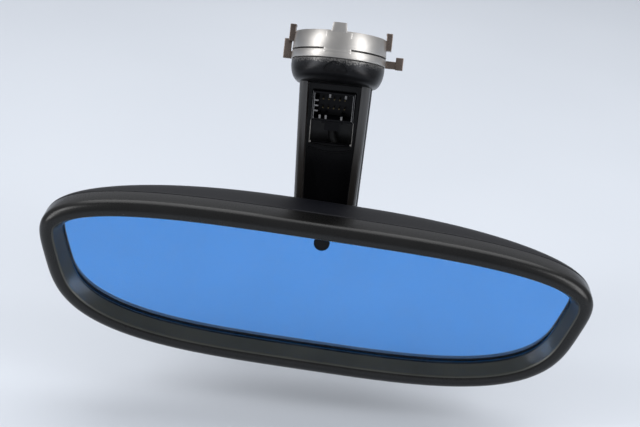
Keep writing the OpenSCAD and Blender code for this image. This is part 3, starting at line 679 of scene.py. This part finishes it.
def make_trim():
    """Window trim: two side bars with round ends painted pale grey as a glint, and a sill in the near-black
    channel plastic as painted shade.
    """
    y0, y1 = ARM_FRONT + CHANNEL - 0.85, ARM_FRONT + CHANNEL + WEB_T - 0.05
    low, high = LEDGE_Z + 0.1, SOCKET_LOW - SOCKET_WALL - 0.15
    edge = WINDOW_W / 2 - 0.08
    bars = []
    for s in (-1, 1):
        x = s * (edge - 0.16)
        bar = mesh_of("bar", *block((x - 0.16, y0, low), (x + 0.16, y1, high)), ROW)
        bars.append(bevelled(bar, 0.12, 3, 40))
    for s in (-1, 1):
        end = mesh_of("end", *rod(s * (edge - 0.5), low + 0.6, y0 - 0.02, y0 + 1.0, 0.5, 24), ROW)
        bars.append(bevelled(end, 0.2, 3, 40))
    light = sum(len(b.polygons) for b in bars)
    sill = bevelled(mesh_of("sill", *block((-edge, y0, low), (edge, y1, low + 0.5)), ROW), 0.2, 3, 40)
    obj = finish_mesh("window_trim", joined(bars + [sill]), [TRIM_GLINT, CHANNEL_SHADE],
                      "arm", ["connector_bezel"], 40)
    # Side bars and their ends take the painted glint, the sill the painted shade
    for i, face in enumerate(obj.data.polygons):
        face.material_index = 0 if i < light else 1


make_socket()
make_trim()

cover = bevelled(arm_prism(-0.67, ARM_LOW - 0.47, 4, SPLIT_Y, COVER_Y, 7), 2.2, 6, 60)
cover = cut(cover, arm_prism(1.6, ARM_LOW + 1.5, 9, SPLIT_Y - 3, COVER_Y - 1.6, 5))
cover = bevelled(trimmed_to_foot(cover), 0.25, 2, 48)
finish_mesh("arm_cover", cover, COVER, "arm", ["arm_rear_cover"], 40)


# ---------------------------------------------------------------- foot
BAND_TOP = -3.6
BAND_BOTTOM = -7.2
SLIT = 0.7
WALL_TOP = 5.4
TAB_TOP = 8.6
RIM_Z = BAND_BOTTOM - 0.1
EAR_Y = 1.4
CLIP_R = BOWL_R + 0.2
FOOT_SCREW_X = 12.4


def foot_ring(a, b, n, y, z, count=160):
    pts = []
    for i in range(count):
        t = 2 * math.pi * i / count
        pts.append((a * signed_pow(math.cos(t), 2 / n), y + b * signed_pow(math.sin(t), 2 / n), z))
    return pts


def make_foot():
    base_a = ARM_TOP_W / 2 + 0.5
    base_y = (ARM_Y + BOWL_H * UNDER_NORMAL.y) / UNDER_NORMAL.z
    profile = [(SEAT_R, 0), (SEAT_R, COLLAR_H - 0.3), (SEAT_R + 0.3, COLLAR_H), (SEAT_R + 1.1, COLLAR_H),
               (SEAT_R + 1.4, COLLAR_H - 0.3), (SEAT_R + 1.4, RIM_Z), (BOWL_R - 0.9, RIM_Z),
               (BOWL_R - 0.35, RIM_Z - 0.12), (BOWL_R - 0.08, RIM_Z - 0.5)]
    rings = [foot_ring(r, r, 2, 0, z) for r, z in profile]
    steps = 22
    for i in range(steps + 1):
        t = math.pi / 2 * (1 - i / steps)
        s = i / steps
        ease = s * s * (3 - 2 * s)
        a = base_a + (BOWL_R - 0.05 - base_a) * math.sin(t)
        b = 8.6 + (BOWL_R - 0.05 - 8.6) * math.sin(t) ** 0.9
        z = RIM_Z - 1.6 - (BOWL_H + RIM_Z - 1.6) * math.cos(t)
        rings.append(foot_ring(a, b, 2 + 1.6 * ease, base_y * ease, z))
    verts, faces = loft(rings, closed=False, caps=True)
    mesh = mesh_of("foot", verts, faces, FOOT)
    notch = mesh_of("notch", *rod(0, RIM_Z - 7.4, -BOWL_R - 5, -BOWL_R + 1.9, 6.0, 64), FOOT)
    holes = []
    block_mid = (WEB_BACK + COVER_Y - 1.6) / 2
    hole_y = (block_mid + (BOWL_H + 2.3) * UNDER_NORMAL.y) / UNDER_NORMAL.z
    for x in (-FOOT_SCREW_X, FOOT_SCREW_X):
        for r, z0 in ((3.3, -2.4), (1.7, -BOWL_H + 0.4)):
            n = 40
            turns = [2 * math.pi * i / n for i in range(n)]
            pts = [(x + r * math.cos(t), hole_y + r * math.sin(t)) for t in turns]
            vs = [(px, py, z) for z in (z0, 1.0) for px, py in pts]
            fs = [tuple(range(n)), tuple(range(2 * n - 1, n - 1, -1))]
            fs += [(q, n + q, n + (q + 1) % n, (q + 1) % n) for q in range(n)]
            holes.append(mesh_of("hole", vs, fs, FOOT))
    mesh = cut(mesh, notch, *holes)
    finish_mesh("foot", mesh, GRAPHITE_PAINTED_LIGHT, "arm", ["foot_housing"], 32)


make_foot()


def arc_strip(a0, a1, z0, z1, r0_out, r1_out, thick=CLIP_T, steps=None, top_a0=None, top_a1=None):
    """Bent sheet between two angles (degrees from +X) and two heights.

    The outer radius runs from r0_out to r1_out; top_a0 and top_a1 are the angles at the top.
    """
    top_a0 = a0 if top_a0 is None else top_a0
    top_a1 = a1 if top_a1 is None else top_a1
    steps = steps or max(2, int(abs(a1 - a0) / 2.5))
    verts = []
    for i in range(steps + 1):
        s = i / steps
        lo = math.radians(a0 + (a1 - a0) * s)
        hi = math.radians(top_a0 + (top_a1 - top_a0) * s)
        for r, z, ang in ((r0_out - thick, z0, lo), (r0_out, z0, lo), (r1_out, z1, hi), (r1_out - thick, z1, hi)):
            verts.append((r * math.cos(ang), r * math.sin(ang), z))
    faces = [(0, 1, 2, 3), tuple(4 * steps + k for k in (3, 2, 1, 0))]
    for i in range(steps):
        for k in range(4):
            m = (k + 1) % 4
            faces.append((4 * i + k, 4 * i + 4 + k, 4 * i + 4 + m, 4 * i + m))
    return mesh_of("strip", verts, faces, FOOT)


def rounded_box(lo, hi, width=0.25):
    return bevelled(mesh_of("box", *block(lo, hi), FOOT), width, 3, 40)


def make_clip():
    lean = 0.7
    parts = []
    for mid in (-90, 90):
        parts.append(arc_strip(mid - 89.9, mid + 89.9, BAND_TOP + SLIT, WALL_TOP, CLIP_R, CLIP_R - lean))
        parts.append(arc_strip(mid - 89.9, mid + 89.9, BAND_BOTTOM, BAND_TOP, CLIP_R, CLIP_R))
        half = math.degrees(6.5 / CLIP_R)
        strap_r = CLIP_R + 0.06
        parts.append(arc_strip(mid - half, mid + half, BAND_TOP - 1.4, WALL_TOP - 0.6,
                               strap_r, strap_r - lean * 0.95, 0.5))
        half = math.degrees(3.9 / CLIP_R)
        tip = math.degrees(3.2 / CLIP_R)
        parts.append(arc_strip(mid - half, mid + half, WALL_TOP - 0.8, TAB_TOP + 0.5,
                               CLIP_R + 0.1 - lean, CLIP_R - lean + 0.3, 0.7, 6, mid - tip, mid + tip))
    parts = [bevelled(p, 0.16, 2, 40) for p in parts]
    ears = []
    for s in (-1, 1):
        x = s * (CLIP_R + 0.6)
        ears.append(rounded_box((x - 1.4, -2.4, WALL_TOP - 4.6), (x + 1.4, 2.4, TAB_TOP - 0.3)))
        x -= s * 0.1
        ears.append(rounded_box((x - 1.5, -2.4, TAB_TOP - 0.9), (x + 1.5, 2.4, TAB_TOP + 0.4), 0.4))
    # Release ears: a short arm and its turned-up end, on the left and then on the right
    for lo, hi in (((-CLIP_R - 4.0, EAR_Y, BAND_BOTTOM), (-CLIP_R + 0.3, EAR_Y + CLIP_T, BAND_TOP)),
                   ((-CLIP_R - 4.2, EAR_Y - 1, BAND_BOTTOM), (-CLIP_R - 0.6, EAR_Y + 0.2, BAND_BOTTOM + 9.4)),
                   ((CLIP_R - 0.3, EAR_Y, BAND_BOTTOM), (CLIP_R + 6.8, EAR_Y + CLIP_T, BAND_TOP)),
                   ((CLIP_R + 4.6, EAR_Y - 1, BAND_BOTTOM - 0.4), (CLIP_R + 8.2, EAR_Y + 0.2, BAND_BOTTOM + 5.6))):
        ears.append(rounded_box(lo, hi))
    ring = joined(parts)
    count = len(ring.polygons)
    clip = finish_mesh("clip", joined([ring] + ears), [STEEL, EAR], "arm", ["spring_clip"], 40)
    for i, face in enumerate(clip.data.polygons):
        face.material_index = 1 if i >= count else 0


make_clip()


# ---------------------------------------------------------------- studio
# Metres: the floor lies low enough for every pose of the head
FLOOR_GAP = 0.022
FLOOR_HALF = 8.0
LIT_POINT = (0, 0, -0.08)


def make_floor():
    z = cad_box[0][2] - FLOOR_GAP
    size = FLOOR_HALF
    mesh = bpy.data.meshes.new("floor")
    corners = [(-size, -size, z), (size, -size, z), (size, size, z), (-size, size, z)]
    mesh.from_pydata(corners, [], [(0, 1, 2, 3)])
    mat, nt, bsdf = new_material("floor")
    slow = noise(nt, coords(nt), 3.0, 2.0)
    nt.links.new(two_colours(nt, slow, (0.66, 0.70, 0.76), (0.69, 0.73, 0.79)), bsdf.inputs["Base Color"])
    bsdf.inputs["Roughness"].default_value = 0.6
    bsdf.inputs["Specular IOR Level"].default_value = 0.2
    mesh.materials.append(mat)
    floor = bpy.data.objects.new("floor", mesh)
    bpy.context.scene.collection.objects.link(floor)


def area_light(name, place, size, power):
    """Soft light in front of, above or behind the part, aimed at its middle."""
    data = bpy.data.lights.new(name, "AREA")
    data.shape = "RECTANGLE"
    data.size, data.size_y = size
    data.energy = power
    light = bpy.data.objects.new(name, data)
    light.location = place
    light.rotation_euler = (Vector(LIT_POINT) - Vector(place)).to_track_quat("-Z", "Y").to_euler()
    bpy.context.scene.collection.objects.link(light)


def make_world():
    world = bpy.data.worlds.new("studio")
    bpy.context.scene.world = world
    world.use_nodes = True
    back = world.node_tree.nodes["Background"]
    back.inputs["Color"].default_value = (0.93, 0.95, 1.0, 1)
    back.inputs["Strength"].default_value = 0.40


make_floor()
make_world()
area_light("overhead", (0.0, 0.45, 0.9), (1.4, 0.9), 8.0)
area_light("left", (-0.8, -0.45, 0.55), (0.35, 0.5), 3.4)
for side in (-1, 1):
    area_light("front_low", (1.0 * side, -0.70, 0.22), (0.5, 0.3), 3.0)
area_light("right", (0.8, -0.40, 0.50), (0.35, 0.5), 3.0)
bpy.context.scene.view_settings.view_transform = "Standard"
